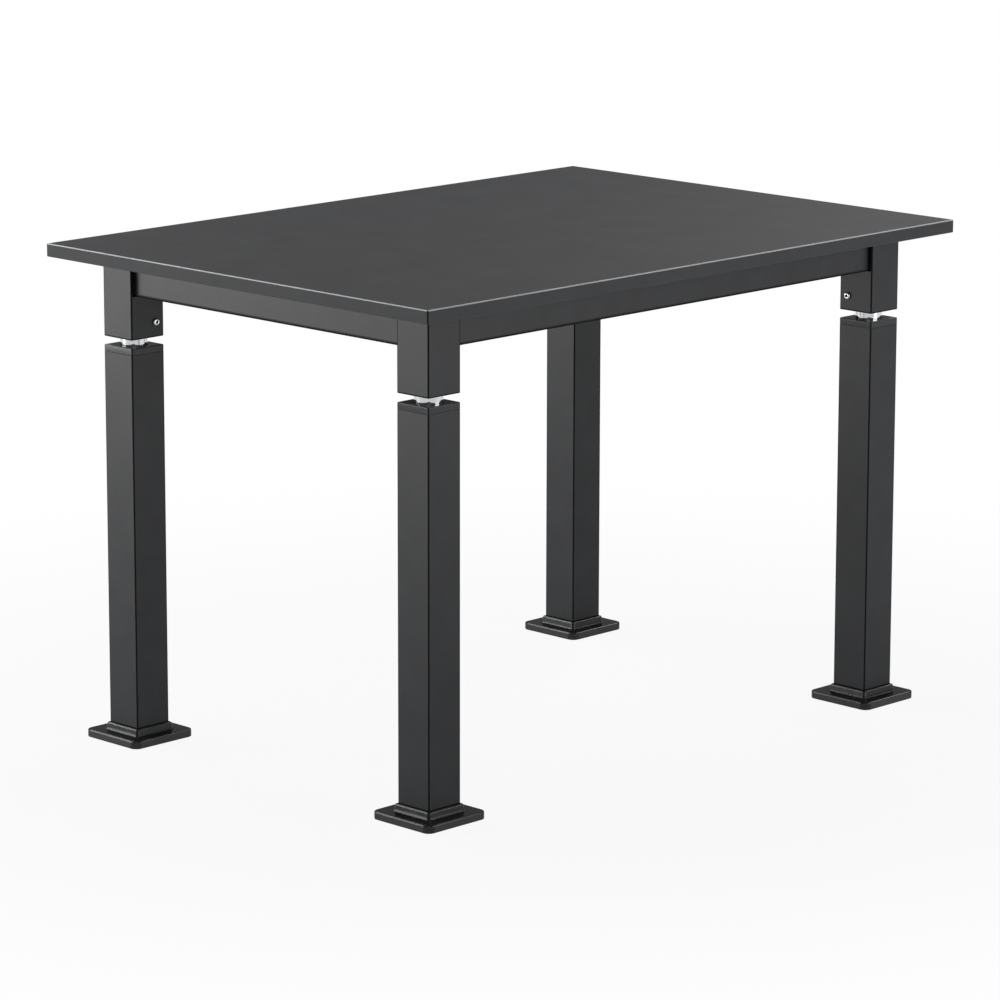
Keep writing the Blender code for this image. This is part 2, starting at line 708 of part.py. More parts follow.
def main():
    """Build the table at its lowest setting."""
    clear_scene()
    shop = Workshop()
    table = Assembly("laboratory_table")
    place_frame(shop, table)
    place_legs(shop, table)
    bpy.context.view_layer.update()


main()
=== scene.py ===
"""Studio finish for a height-adjustable laboratory table, laid out as an add-on.

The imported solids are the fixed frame. Each operator gives one kind of piece its finer surface and
its finish, and the last one sets the stage. Lengths are in metres, +Z is up, the front is at -Y.
"""

import json
import math

import bmesh
import bpy
import numpy as np
from bpy.props import FloatProperty, FloatVectorProperty, PointerProperty
from mathutils import Color, Matrix, Vector

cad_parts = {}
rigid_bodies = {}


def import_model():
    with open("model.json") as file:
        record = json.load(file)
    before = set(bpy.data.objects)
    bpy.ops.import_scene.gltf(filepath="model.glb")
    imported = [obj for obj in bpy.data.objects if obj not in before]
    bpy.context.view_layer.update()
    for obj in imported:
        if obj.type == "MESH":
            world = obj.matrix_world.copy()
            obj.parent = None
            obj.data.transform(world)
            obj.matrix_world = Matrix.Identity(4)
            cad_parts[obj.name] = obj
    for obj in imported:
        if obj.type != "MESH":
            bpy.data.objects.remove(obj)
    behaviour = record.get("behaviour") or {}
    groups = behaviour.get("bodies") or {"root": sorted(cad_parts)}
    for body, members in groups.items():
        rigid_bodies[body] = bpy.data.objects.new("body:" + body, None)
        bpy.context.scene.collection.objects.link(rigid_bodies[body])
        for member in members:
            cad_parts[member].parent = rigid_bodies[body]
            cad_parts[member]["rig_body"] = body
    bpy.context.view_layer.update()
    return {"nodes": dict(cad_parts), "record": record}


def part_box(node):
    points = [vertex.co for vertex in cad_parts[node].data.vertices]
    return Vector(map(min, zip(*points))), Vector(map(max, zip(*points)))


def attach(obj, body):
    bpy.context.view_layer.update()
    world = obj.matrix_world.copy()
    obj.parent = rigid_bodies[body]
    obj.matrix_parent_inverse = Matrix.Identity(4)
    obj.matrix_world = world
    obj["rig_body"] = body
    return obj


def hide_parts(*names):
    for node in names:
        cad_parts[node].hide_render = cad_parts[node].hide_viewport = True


bl_info = {
    "name": "Laboratory Table Finish",
    "version": (1, 0, 0),
    "blender": (4, 5, 0),
    "location": "3D View > Sidebar > Lab Table",
    "description": "Dresses a height-adjustable laboratory table for a plain studio",
    "category": "Object",
}

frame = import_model()

CORNERS = ("front_left", "front_right", "rear_right", "rear_left")
RAIL_ROLLS = {"front": 1, "rear": 1, "left": -1, "right": -1}
SLOTS = {part["node"]: part["material_slot"] for part in frame["record"]["subparts"]}

# Facets of the finer surfaces
ARC_STEPS = 6
EDGE_STEPS = 5
SIDE_POINTS = 24
FOOT_SIDE_POINTS = 6
ROUND_POINTS = 96
CUT_SEGMENTS = 3
ROUNDED_ABOVE = math.radians(50)
WELD = 0.000001

# Arcs of a profile, counted from one, that carry a painted highlight or painted shade, and a
# screw's rings with painted shade: its shank and the foot of its head, and its socket
SLAB_PAINTED_LIGHT = 2
CAP_PAINTED_LIGHT = 3
FOOT_PAINTED_LIGHT = (2, 4, 6)
FOOT_PAINTED_SHADE = (1, 7)
SCREW_PAINTED_SHADE = (0, 1, 2, 3, 4, -2, -1)

# Roughness of edges under painted shade or under a painted highlight, the painted shade on the
# worktop's sides and the painted light on the feet's sides, and the middle of a noise, where most
# of its values lie
DULL = 0.95
SMOOTH = 0.2
SIDE_PAINTED_SHADE = 0.14
SIDE_PAINTED_LIGHT = 0.5
MIDDLE = {"From Min": 0.3, "From Max": 0.7}

# Camera that took the photograph, in its 1000 by 1000 pixels
IMAGE_SIDE = 1000
FOCAL_PIXELS = 4611.62
CENTRE_PIXEL = (459.198, 447.023)
CAMERA_PLACE = (-4.63001, -4.5509, 1.75315)
CAMERA_AZIMUTH = math.radians(-44.8891)
CAMERA_ELEVATION = math.radians(11.7707)
CAMERA_SIDE = (math.sin(CAMERA_AZIMUTH), -math.cos(CAMERA_AZIMUTH), 0.0)
SENSOR_MM = 36.0
VIEW_END = 100.0

# Studio: the floor's rings, where its shadow and its painted shadow in mirrors fade out, and where
# its pale paint ends towards the camera
FLOOR_RADII = (40.0, 10.0, 3.0, 0.5)
FLOOR_LEVEL = -0.0002
SHADOW = {"From Min": 0.6, "From Max": 1.8}
DIM = {"From Min": 0.5, "From Max": 2.4}
PALE = {"From Min": 1.1, "From Max": 1.7}
AIM = (0.0, 0.0, 0.5)
WHITE = (1.0, 1.0, 1.0, 1.0)

# Softboxes: the setting of their power, their place, width and height
SOFTBOXES = {
    "left_softbox": ("left_power", (-2.6, 2.4, 0.55), 2.6, 1.0),
    "right_softbox": ("right_power", (0.9, -2.9, 0.85), 1.8, 1.5),
    "rear_softbox": ("rear_power", (-0.6, 2.4, 2.6), 2.4, 1.6),
    "side_softbox": ("side_power", (2.6, 0.5, 2.6), 2.4, 1.6),
    "front_softbox": ("front_power", (-2.4, -2.4, 2.2), 1.6, 1.6),
}


def linear(hex_colour):
    """sRGB hex value as linear red, green and blue."""
    channels = np.array([int(hex_colour[i:i + 2], 16) for i in (1, 3, 5)]) / 255
    low = channels / 12.92
    high = ((channels + 0.055) / 1.055) ** 2.4
    return tuple(np.where(channels <= 0.04045, low, high).tolist())


def per_mm(size):
    """Pattern scale whose features are about this many millimetres across."""
    return 1000 / size


def length(name, description, default):
    """A length that a user can change."""
    return FloatProperty(
        name=name, description=description, default=default, min=0.0, unit="LENGTH")


def colour(name, description, hex_colour):
    """A colour that a user can change."""
    return FloatVectorProperty(
        name=name, description=description, default=linear(hex_colour), size=3, min=0.0, max=1.0,
        subtype="COLOR")


def power(name, default):
    """A lamp's power that a user can change."""
    return FloatProperty(
        name=name, description="Power of this softbox", default=default, min=0.0, unit="POWER")


def share(name, description, default):
    """A share between nought and one that a user can change."""
    return FloatProperty(
        name=name, description=description, default=default, min=0.0, max=1.0, subtype="FACTOR")


class LabTableSizes(bpy.types.PropertyGroup):
    """Edges, walls and small forms of the table's pieces."""

    slab_edge: length("Slab edge", "Radius of the worktop's eased edges", 0.0016)
    slab_corner: length("Slab corner", "Corner radius of the worktop", 0.0012)
    tube_corner: length("Tube corner", "Outer corner radius of the square tubes", 0.0012)
    tube_bore_corner: length("Bore corner", "Inner corner radius of the square tubes", 0.0005)
    cut_edge: length("Cut edge", "Ease on the sawn ends of the posts", 0.001)
    # The dark lines that the next three set are painted shade
    edge_line: length("Edge line", "How far an edge's dark line runs out", 0.0008)
    rail_line: length("Rail line", "How far a rail's dark line runs up", 0.0036)
    seam_line: length("Seam line", "Height of the dark line above a foot", 0.0014)
    seam_edge: length("Seam edge", "Ease on the ends that meet at a seam", 0.0002)
    post_wall: length("Post wall", "Wall of the posts", 0.0025)
    tube_wall: length("Tube wall", "Wall of the lower tubes", 0.002)
    rail_wall: length("Rail wall", "Wall of the rails", 0.002)
    seat: length("Seat", "Gap between fixed pieces", 0.0003)
    slide: length("Slide", "Gap between sliding pieces", 0.0004)
    column_radius: length("Column radius", "Radius of the columns", 0.0195)
    column_bore: length("Column bore", "Radius of the bore for the lift rod", 0.008)
    column_end: length("Column end", "Ease on the ends of the columns", 0.0003)
    cap_flange: length("Cap flange", "Height of the cap above the tube", 0.0095)
    cap_edge: length("Cap edge", "Radius of the cap's upper edge", 0.0016)
    cap_mouth: length("Cap mouth", "Radius of the rim of the cap's opening", 0.0006)
    foot_plate: length("Foot plate", "Height of the foot's plate", 0.0112)
    foot_step: length("Foot step", "Height of the low step on the plate", 0.0008)
    step_margin: length("Step margin", "The step's distance from the tube", 0.0058)
    collar_height: length("Collar height", "Height of the collar above the step", 0.0092)
    collar_margin: length("Collar margin", "The collar's distance from the tube", 0.0038)
    collar_slope: length("Collar slope", "How much wider the collar is at its base", 0.0012)
    collar_shoulder: length("Collar shoulder", "Radius of the collar's upper edge", 0.0022)
    collar_rim: length("Collar rim", "Radius of the rim of the foot's pocket", 0.0008)
    collar_corner: length("Collar corner", "Corner radius of the step and collar", 0.004)
    foot_corner: length("Foot corner", "Corner radius of the foot's plate", 0.011)
    foot_edge: length("Foot edge", "Radius of the plate's upper edge", 0.002)
    foot_sole: length("Foot sole", "Radius of the plate's lower edge", 0.0014)
    foot_fine_edge: length("Foot fine edge", "Radius of the foot's small edges", 0.0005)
    shank_radius: length("Shank", "Radius of the screws' shanks", 0.003)
    tip_chamfer: length("Tip chamfer", "Chamfer on the tip of a shank", 0.0008)
    head_rim: length("Head rim", "Height of a screw head's straight rim", 0.0008)
    crown: length("Crown", "Radius of the flat on a screw's domed head", 0.0031)
    button_height: length("Button height", "Height of the post screws' heads", 0.0033)
    pan_height: length("Pan height", "Height of the worktop screws' heads", 0.0036)
    socket_flats: length("Socket flats", "Width of a screw's hexagon socket", 0.004)
    socket_depth: length("Socket depth", "Depth of a screw's hexagon socket", 0.0021)
    socket_rim: length("Socket rim", "Chamfer round a screw's socket", 0.0002)


class LabTableColours(bpy.types.PropertyGroup):
    """Colours of the table's finishes, each with a second one that it drifts to."""

    resin: colour("Resin", "Phenolic resin of the worktop", "#3E3F41")
    resin_drift: colour("Resin drift", "Lighter clouding in the resin", "#444547")
    # Painted shade on the slab's upright corners and, faintly, on its sides
    resin_painted_shade: colour("Resin edge", "Resin along the slab's cut edges", "#121213")
    # Painted highlight along the slab's upper edge
    resin_painted_light: colour("Rubbed resin", "Resin eased by hand along the upper edge", "#C8CACC")
    coat: colour("Powder coat", "Powder coat of the steel frame", "#333436")
    coat_drift: colour("Powder coat drift", "Lighter clouding in the powder coat", "#38393B")
    # Painted shade along the edges of the tubes and caps and at the feet's seams
    painted_edge_shade: colour("Powder coat edge", "Thin coat along the tubes' edges", "#0B0B0C")
    nylon: colour("Nylon", "Nylon of the caps and glides", "#333436")
    nylon_drift: colour("Nylon drift", "Glass fibre showing in the nylon", "#3A3B3D")
    foot: colour("Foot", "Polypropylene of the feet", "#1B1C1E")
    foot_drift: colour("Foot drift", "Flow clouding in the feet", "#212224")
    # Painted highlights on the caps' and feet's upper edges, and painted light on the feet's sides
    rubbed: colour("Rubbed plastic", "Edges that hands and mops have rubbed", "#4C4D4F")
    aluminium: colour("Aluminium", "Polished aluminium of the columns", "#D9DBDD")
    aluminium_drift: colour("Aluminium drift", "Die lines on the aluminium", "#BFC2C5")
    zinc: colour("Zinc", "Bright zinc plate of the screws", "#E2E7EA")
    zinc_drift: colour("Zinc drift", "Bluish passivation on the zinc", "#C2CDD3")
    # Painted shade in a screw's socket, on its shank and round the foot of its head
    zinc_painted_shade: colour("Zinc shade", "Grease in a screw's socket and round its head", "#1C1D1E")
    steel: colour("Steel", "Ground steel of the lift rods", "#B4B7BA")
    steel_drift: colour("Steel drift", "Grinding marks on the steel", "#8E9295")
    floor: colour("Floor", "Pale studio floor", "#CFCFCF")
    floor_dark: colour("Dark floor", "Bare studio floor by the camera", "#2A2A2A")


class LabTableStage(bpy.types.PropertyGroup):
    """Lamps and background of the studio."""

    left_power: power("Left softbox", 60.0)
    right_power: power("Right softbox", 33.0)
    rear_power: power("Rear softbox", 51.0)
    side_power: power("Side softbox", 34.0)
    front_power: power("Front softbox", 16.0)
    ambient: share("Ambient", "Light from all around", 0.04)
    mirrored: share("Mirrored surround", "How white the surround looks in mirrors", 0.15)
    camera_side: share("Camera side", "How white the floor by the camera looks in mirrors", 0.8)
    # The floor's dimness round the legs in mirrors is a painted shadow
    near_floor: share("Near floor", "How white the floor by the legs looks in mirrors", 0.35)
    shadow: share("Shadow", "How much of the shadow the floor keeps", 0.08)


class LabTableSettings(bpy.types.PropertyGroup):
    """Everything that a user would change."""

    sizes: PointerProperty(type=LabTableSizes)
    colours: PointerProperty(type=LabTableColours)
    stage: PointerProperty(type=LabTableStage)


def add(tree, kind, inputs=None, **settings):
    """Add a node with its settings, and with values or links for its inputs.

    A link comes from a socket, or from a node's first output in use.
    """
    node = tree.nodes.new("ShaderNode" + kind)
    for key, value in settings.items():
        setattr(node, key, value)
    for key, value in (inputs or {}).items():
        if isinstance(value, bpy.types.Node):
            value = next(socket for socket in value.outputs if socket.enabled)
        if isinstance(value, bpy.types.NodeSocket):
            tree.links.new(value, node.inputs[key])
        else:
            node.inputs[key].default_value = (*value, 1.0) if isinstance(value, Color) else value
    return node


def empty_tree(owner):
    """The node tree of a new material or world, cleared of the nodes that it comes with."""
    owner.use_nodes = True
    owner.node_tree.nodes.clear()
    return owner.node_tree


def with_painted_light(tree, tone, rough, marks):
    """Colour and roughness of a finish with painted shade and painted light where the mesh is
    marked, as inputs of its shader.

    A mark is an attribute of the mesh, the colour that it leads to, and the roughness, or none
    where the shine stays.
    """
    for mark, shade, roughness in marks:
        amount = add(tree, "Attribute", attribute_name=mark).outputs["Fac"]
        tone = add(tree, "Mix", {"Factor": amount, "A": tone, "B": shade}, data_type="RGBA")
        if roughness is not None:
            rough = add(tree, "Mix", {"Factor": amount, "A": rough, "B": roughness})
    return {"Base Color": tone, "Roughness": rough}


def phenolic_resin(tree, place, colours):
    """Phenolic resin pressed against a matt plate, with its edges machined and oiled.

    The eye gets a dark grey with faint clouds a hand wide, and a fine pebble that breaks up the
    shine. The pebble is drawn at 1.2 mm, coarser than the real 0.3 mm, so that it shows. A painted
    highlight with a low roughness runs along the upper edge, and painted shade darkens the upright
    corners and, faintly, the sides.
    """
    cloud = add(tree, "TexNoise", {"Vector": place, "Scale": per_mm(70), "Detail": 4.0})
    pebble = add(tree, "TexVoronoi", {
        "Vector": place, "Scale": per_mm(1.2), "Smoothness": 0.6}, feature="SMOOTH_F1")
    fleck = add(tree, "TexNoise", {"Vector": place, "Scale": per_mm(2.4)})
    spread = add(tree, "MapRange", {"Value": cloud, **MIDDLE})
    clouded = add(tree, "Mix", {
        "Factor": spread, "A": colours.resin, "B": colours.resin_drift}, data_type="RGBA")
    rough = add(tree, "MapRange", {"Value": fleck, **MIDDLE, "To Min": 0.58, "To Max": 0.66})
    bump = add(tree, "Bump", {"Strength": 0.25, "Distance": 0.00003, "Height": pebble})
    marks = [("edge", colours.resin_painted_shade, DULL), ("rubbed", colours.resin_painted_light, SMOOTH)]
    return {**with_painted_light(tree, clouded, rough, marks), "Normal": bump, "Specular IOR Level": 0.35}


def powder_coat(tree, place, colours):
    """Polyester powder coat, sprayed on steel and baked.

    The eye gets a satin black with a faint orange peel 2.6 mm across that ripples the reflections,
    and a fine sandy tooth under it. Painted shade darkens the edges, which are also rougher.
    """
    peel = add(tree, "TexNoise", {"Vector": place, "Scale": per_mm(2.6), "Detail": 1.0})
    tooth = add(tree, "TexNoise", {"Vector": place, "Scale": per_mm(0.6)})
    cloud = add(tree, "TexNoise", {"Vector": place, "Scale": per_mm(45), "Detail": 3.0})
    spread = add(tree, "MapRange", {"Value": cloud, **MIDDLE})
    clouded = add(tree, "Mix", {
        "Factor": spread, "A": colours.coat, "B": colours.coat_drift}, data_type="RGBA")
    rough = add(tree, "MapRange", {"Value": tooth, **MIDDLE, "To Min": 0.34, "To Max": 0.42})
    ripple = add(tree, "Bump", {"Strength": 0.5, "Distance": 0.00003, "Height": peel})
    bump = add(tree, "Bump", {
        "Strength": 0.3, "Distance": 0.00001, "Height": tooth, "Normal": ripple})
    marks = [("edge", colours.painted_edge_shade, DULL)]
    return {**with_painted_light(tree, clouded, rough, marks), "Normal": bump, "Specular IOR Level": 0.22}


def filled_nylon(tree, place, colours):
    """Glass-filled nylon, moulded in a finely polished die.

    The eye gets a deep black that shines enough to mirror the bright column standing in it, with
    short pale flow streaks of fibre 4 mm long. Painted shade darkens its upright corners, and a
    painted highlight runs along its upper edge.
    """
    lain = add(tree, "Mapping", {"Vector": place, "Scale": (1.0, 3.0, 1.0)})
    fibre = add(tree, "TexNoise", {"Vector": lain, "Scale": per_mm(4), "Detail": 3.0})
    die = add(tree, "TexNoise", {"Vector": place, "Scale": per_mm(0.5)})
    spread = add(tree, "MapRange", {"Value": fibre, "From Min": 0.45, "From Max": 0.75})
    streaked = add(tree, "Mix", {
        "Factor": spread, "A": colours.nylon, "B": colours.nylon_drift}, data_type="RGBA")
    rough = add(tree, "MapRange", {"Value": die, **MIDDLE, "To Min": 0.10, "To Max": 0.16})
    bump = add(tree, "Bump", {"Strength": 0.2, "Distance": 0.00001, "Height": die})
    marks = [("edge", colours.painted_edge_shade, DULL), ("rubbed", colours.rubbed, None)]
    return {**with_painted_light(tree, streaked, rough, marks), "Normal": bump, "Specular IOR Level": 0.30}


def moulded_polypropylene(tree, place, colours):
    """Polypropylene, moulded in a polished die.

    The eye gets a shiny black that mirrors the leg standing on it, with slow clouds where the melt
    flowed in from the middle and a faint ripple 6 mm across. Painted highlights run along its upper
    edges, painted light makes the plate's sides paler, and painted shade darkens the sole's edge
    and the seam round the tube.
    """
    flow = add(tree, "TexNoise", {"Vector": place, "Scale": per_mm(18)})
    ripple = add(tree, "TexNoise", {"Vector": place, "Scale": per_mm(6), "Detail": 1.0})
    spread = add(tree, "MapRange", {"Value": flow, **MIDDLE})
    clouded = add(tree, "Mix", {
        "Factor": spread, "A": colours.foot, "B": colours.foot_drift}, data_type="RGBA")
    rough = add(tree, "MapRange", {"Value": flow, **MIDDLE, "To Min": 0.12, "To Max": 0.18})
    bump = add(tree, "Bump", {"Strength": 0.2, "Distance": 0.00005, "Height": ripple})
    marks = [("edge", colours.painted_edge_shade, DULL), ("rubbed", colours.rubbed, None)]
    return {**with_painted_light(tree, clouded, rough, marks), "Normal": bump, "Specular IOR Level": 0.45}


def drawn_aluminium(tree, place, colours):
    """Aluminium, extruded, drawn through a die and polished.

    The eye gets a clear mirror that shows the white floor and the dark cap, with fine upright die
    lines 0.5 mm apart that run the whole length and stretch every highlight sideways.
    """
    pulled = add(tree, "Mapping", {"Vector": place, "Scale": (1.0, 1.0, 0.004)})
    lines = add(tree, "TexNoise", {"Vector": pulled, "Scale": per_mm(0.5), "Detail": 3.0})
    broad = add(tree, "TexNoise", {"Vector": pulled, "Scale": per_mm(2.5)})
    spread = add(tree, "MapRange", {"Value": lines, "From Min": 0.4, "From Max": 0.8})
    lined = add(tree, "Mix", {
        "Factor": spread, "A": colours.aluminium, "B": colours.aluminium_drift}, data_type="RGBA")
    rough = add(tree, "MapRange", {"Value": broad, **MIDDLE, "To Min": 0.05, "To Max": 0.09})
    bump = add(tree, "Bump", {"Strength": 0.15, "Distance": 0.00001, "Height": lines})
    return {"Base Color": lined, "Roughness": rough, "Normal": bump, "Metallic": 1.0}


def bright_zinc(tree, place, colours):
    """Steel with bright zinc plate and a clear blue passivation.

    The eye gets a bright, slightly bluish metal with faint cloudy tints 3 mm across. Painted shade
    keeps the sockets, the shanks and the foot of each head dark, and they are rougher there.
    """
    tint = add(tree, "TexNoise", {"Vector": place, "Scale": per_mm(3)})
    grit = add(tree, "TexNoise", {"Vector": place, "Scale": per_mm(0.3)})
    spread = add(tree, "MapRange", {"Value": tint, "From Min": 0.35, "From Max": 0.7})
    tinted = add(tree, "Mix", {
        "Factor": spread, "A": colours.zinc, "B": colours.zinc_drift}, data_type="RGBA")
    rough = add(tree, "MapRange", {"Value": grit, **MIDDLE, "To Min": 0.08, "To Max": 0.14})
    marks = [("edge", colours.zinc_painted_shade, DULL)]
    return {**with_painted_light(tree, tinted, rough, marks), "Metallic": 1.0}


def ground_steel(tree, place, colours):
    """Steel rod, ground between centres.

    The eye gets a grey metal with fine rings 0.4 mm apart round the rod.
    """
    ringed = add(tree, "Mapping", {"Vector": place, "Scale": (0.05, 0.05, 1.0)})
    rings = add(tree, "TexNoise", {"Vector": ringed, "Scale": per_mm(0.4)})
    marked = add(tree, "Mix", {
        "Factor": rings, "A": colours.steel, "B": colours.steel_drift}, data_type="RGBA")
    rough = add(tree, "MapRange", {"Value": rings, **MIDDLE, "To Min": 0.16, "To Max": 0.28})
    return {"Base Color": marked, "Roughness": rough, "Metallic": 1.0}


# Each slot's material, and the function that adds its patterns and gives its shader's inputs
FINISHES = {
    "charcoal_resin": ("pressed_phenolic_resin", phenolic_resin),
    "black_powder_coat": ("baked_powder_coat", powder_coat),
    "black_nylon": ("moulded_glass_filled_nylon", filled_nylon),
    "black_moulded_foot": ("moulded_polypropylene", moulded_polypropylene),
    "drawn_aluminium": ("polished_drawn_aluminium", drawn_aluminium),
    "zinc_steel": ("bright_zinc_plate", bright_zinc),
    "ground_steel": ("ground_steel", ground_steel),
}
made_finishes = {}


def finish_of(node, context):
    """The finish of a node's material slot, made when it is first asked for."""
    slot = SLOTS[node]
    if slot not in made_finishes:
        name, finish = FINISHES[slot]
        material = bpy.data.materials.new(name)
        tree = empty_tree(material)
        place = add(tree, "TexCoord").outputs["Object"]
        inputs = finish(tree, place, context.scene.lab_table.colours)
        shader = add(tree, "BsdfPrincipled", inputs)
        add(tree, "OutputMaterial", {"Surface": shader})
        made_finishes[slot] = material
    return made_finishes[slot]


def extent(node):
    """Lowest and highest corner of a node, half its size and its middle, as arrays."""
    low, high = np.array(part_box(node))
    return low, high, (high - low) / 2, (high + low) / 2


def band(lower, upper):
    """Quads that join rings of point numbers to the rings above them."""
    quads = np.stack([lower, np.roll(lower, -1, 1), np.roll(upper, -1, 1), upper], axis=-1)
    return quads.reshape(-1, 4).tolist()


def skin(name, rings, looped, marks):
    """Surface over a grid of rings.

    The rings are listed from the bottom up and each runs anticlockwise. Every ring is joined to the
    next by quads. A looped grid joins its last ring to its first, and an open one is closed by a
    flat face at either end. Points that fall together are welded. Each mark is kept as an attribute
    of the points, from nought to one.
    """
    index = np.arange(rings[..., 0].size).reshape(rings.shape[:2])
    if looped:
        faces = band(index, np.roll(index, -1, axis=0))
    else:
        faces = band(index[:-1], index[1:]) + [index[0, ::-1].tolist(), index[-1].tolist()]
    mesh = bpy.data.meshes.new(name)
    mesh.from_pydata(rings.reshape(-1, 3), [], faces)
    for mark, values in marks.items():
        layer = mesh.attributes.new(mark, "FLOAT", "POINT")
        values = np.broadcast_to(values, index.shape).astype(np.float32)
        layer.data.foreach_set("value", values.ravel())
    shape = bmesh.new()
    shape.from_mesh(mesh)
    bmesh.ops.remove_doubles(shape, verts=shape.verts, dist=WELD)
    bmesh.ops.dissolve_degenerate(shape, dist=WELD, edges=shape.edges)
    shape.to_mesh(mesh)
    shape.free()
    mesh.shade_smooth()
    return mesh


def install(node, form, context, rings, looped=False, cut_edge=0.0, **marks):
    """Stand a skin over rings in for a node, on the same body and with the same finish."""
    name = f"{node}_{form}"
    mesh = skin(name, rings, looped, marks)
    piece = bpy.data.objects.new(name, mesh)
    context.scene.collection.objects.link(piece)
    mesh.materials.append(finish_of(node, context))
    if cut_edge:
        ease = piece.modifiers.new("cut_edges", "BEVEL")
        ease.width = cut_edge
        ease.segments = CUT_SEGMENTS
        ease.limit_method = "ANGLE"
        ease.angle_limit = ROUNDED_ABOVE
    piece.modifiers.new("flat_faces_stay_flat", "WEIGHTED_NORMAL")
    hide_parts(node)
    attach(piece, frame["nodes"][node]["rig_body"])


def at_leg(points, corner):
    """Points of the front left leg, about its axis, turned by quarter turns to another leg."""
    *_, middle = extent("lower_tube_" + corner)
    x, y, z = np.moveaxis(points, -1, 0)
    for _ in range(CORNERS.index(corner)):
        x, y = -y, x
    return np.stack([x + middle[0], y + middle[1], z], axis=-1)


def filleted(corners, radii):
    """Profile through corner points with each inner corner rounded by an arc, and the points' arcs.

    With h half of the corner's angle and r its radius, the arc touches the sides r / tan h from the
    corner, its centre lies r / sin h along the bisector, and it swings through pi - 2h. Arcs are
    counted from one, and a point at an arc's end or on a straight has nought.
    """
    corners = np.asarray(corners, float)
    t = np.linspace(0, 1, EDGE_STEPS + 1)[:, None]
    inside = ((t > 0) & (t < 1)).ravel()
    profile = [corners[:1]]
    arcs = [np.zeros(1, int)]
    for number, radius in enumerate(radii, 1):
        before, corner, after = corners[number - 1:number + 2]
        back = (before - corner) / np.linalg.norm(before - corner)
        ahead = (after - corner) / np.linalg.norm(after - corner)
        half = math.acos(np.clip(back @ ahead, -1, 1)) / 2
        middle = (back + ahead) / np.linalg.norm(back + ahead)
        centre = corner + middle * radius / math.sin(half)
        start = corner + back * radius / math.tan(half) - centre
        end = corner + ahead * radius / math.tan(half) - centre
        swing = math.pi - 2 * half
        arc = np.sin((1 - t) * swing) * start + np.sin(t * swing) * end
        profile.append(centre + arc / math.sin(swing))
        arcs.append(inside * number)
    profile.append(corners[-1:])
    arcs.append(np.zeros(1, int))
    return np.concatenate(profile), np.concatenate(arcs)


def rounded_rings(half_x, half_y, radius, height, line, side_points=0):
    """Rings of a rectangle with round corners, one for each value of the given arrays.

    A corner is a quarter circle about a point one radius in from both sides: its points are
    (half - r) + r (cos t, sin t). Another point stands a line's width off either end of the arc.
    Extra points divide each straight side evenly.
    """
    half_x, half_y, radius, height = np.broadcast_arrays(
        *np.atleast_1d(half_x, half_y, radius, height))
    quarter = np.arange(4)[:, None] * math.pi / 2
    arc = np.linspace(0, math.pi / 2, ARC_STEPS + 1)
    angle = quarter + arc[[0, *range(ARC_STEPS + 1), -1]]
    off = line * np.array([-1.0, *[0.0] * (ARC_STEPS + 1), 1.0])
    sign_x = np.array([1, -1, -1, 1])[:, None]
    sign_y = np.array([1, 1, -1, -1])[:, None]
    r = radius[:, None, None]
    x = sign_x * (half_x[:, None, None] - r) + r * np.cos(angle) - off * np.sin(angle)
    y = sign_y * (half_y[:, None, None] - r) + r * np.sin(angle) + off * np.cos(angle)
    corners = np.stack([x, y], axis=-1)
    t = np.arange(1, side_points + 1)[:, None] / (side_points + 1)
    leaving = corners[:, :, -1:]
    arriving = np.roll(corners[:, :, :1], -1, axis=1)
    sides = leaving + t * (arriving - leaving)
    flat = np.concatenate([corners, sides], axis=2).reshape(len(r), -1, 2)
    z = np.broadcast_to(height[:, None, None], (*flat.shape[:2], 1))
    return np.concatenate([flat, z], axis=-1)


def corner_marks(side_points=0):
    """Edge marks round such a ring: one along each corner's arc and nought elsewhere."""
    marks = np.zeros((4, ARC_STEPS + 3 + side_points))
    marks[:, 1:ARC_STEPS + 2] = 1.0
    return marks.ravel()


def bored_ring(ring, radius, height):
    """Ring of a circle whose points stand at the same angles as those of another ring."""
    circle = radius * np.exp(1j * np.arctan2(ring[:, 1], ring[:, 0]))
    return np.stack([circle.real, circle.imag, np.full(len(ring), height)], axis=-1)


def round_ring(radius, height, flats=0.0):
    """Ring of a circle, or of a hexagon of a given width across flats.

    A hexagon's side lies flats / 2 from the axis, so its point at angle t is flats / 2 divided by
    the cosine of the angle between t and the middle of the nearest side.
    """
    angle = np.arange(ROUND_POINTS) * 2 * math.pi / ROUND_POINTS
    if flats:
        sixth = math.pi / 3
        radius = flats / 2 / np.cos((angle + sixth / 2) % sixth - sixth / 2)
    ring = radius * np.exp(1j * angle)
    return np.stack([ring.real, ring.imag, np.full(ROUND_POINTS, height)], axis=-1)


class LABTABLE_OT_worktop(bpy.types.Operator):
    """Make the resin slab with its eased edges."""

    bl_idname = "labtable.worktop"
    bl_label = "Worktop"

    def execute(self, context):
        sizes = context.scene.lab_table.sizes
        low, high, half, middle = extent("worktop")
        within = -half[1] / 2
        profile, arcs = filleted(
            [(within, low[2]), (0.0, low[2]), (0.0, high[2]), (within, high[2])],
            (sizes.slab_edge, sizes.slab_edge))
        inset, height = profile[1:-1].T
        radius = np.maximum(sizes.slab_corner + inset, 0.0)
        rings = rounded_rings(half[0] + inset, half[1] + inset, radius, height, sizes.edge_line)
        rings[..., :2] += middle[:2]
        # Painted shade on the upright corners and, faintly, the sides; a painted highlight along
        # the upper edge, which stops at the corners
        corners = corner_marks()
        side = inset[:, None] == inset.max()
        edge = np.maximum(side * SIDE_PAINTED_SHADE, corners)
        edge[[0, -1]] = 0.0
        rubbed = (arcs[1:-1, None] == SLAB_PAINTED_LIGHT) * (1 - corners)
        install("worktop", "slab", context, rings, edge=edge, rubbed=rubbed)
        return {"FINISHED"}


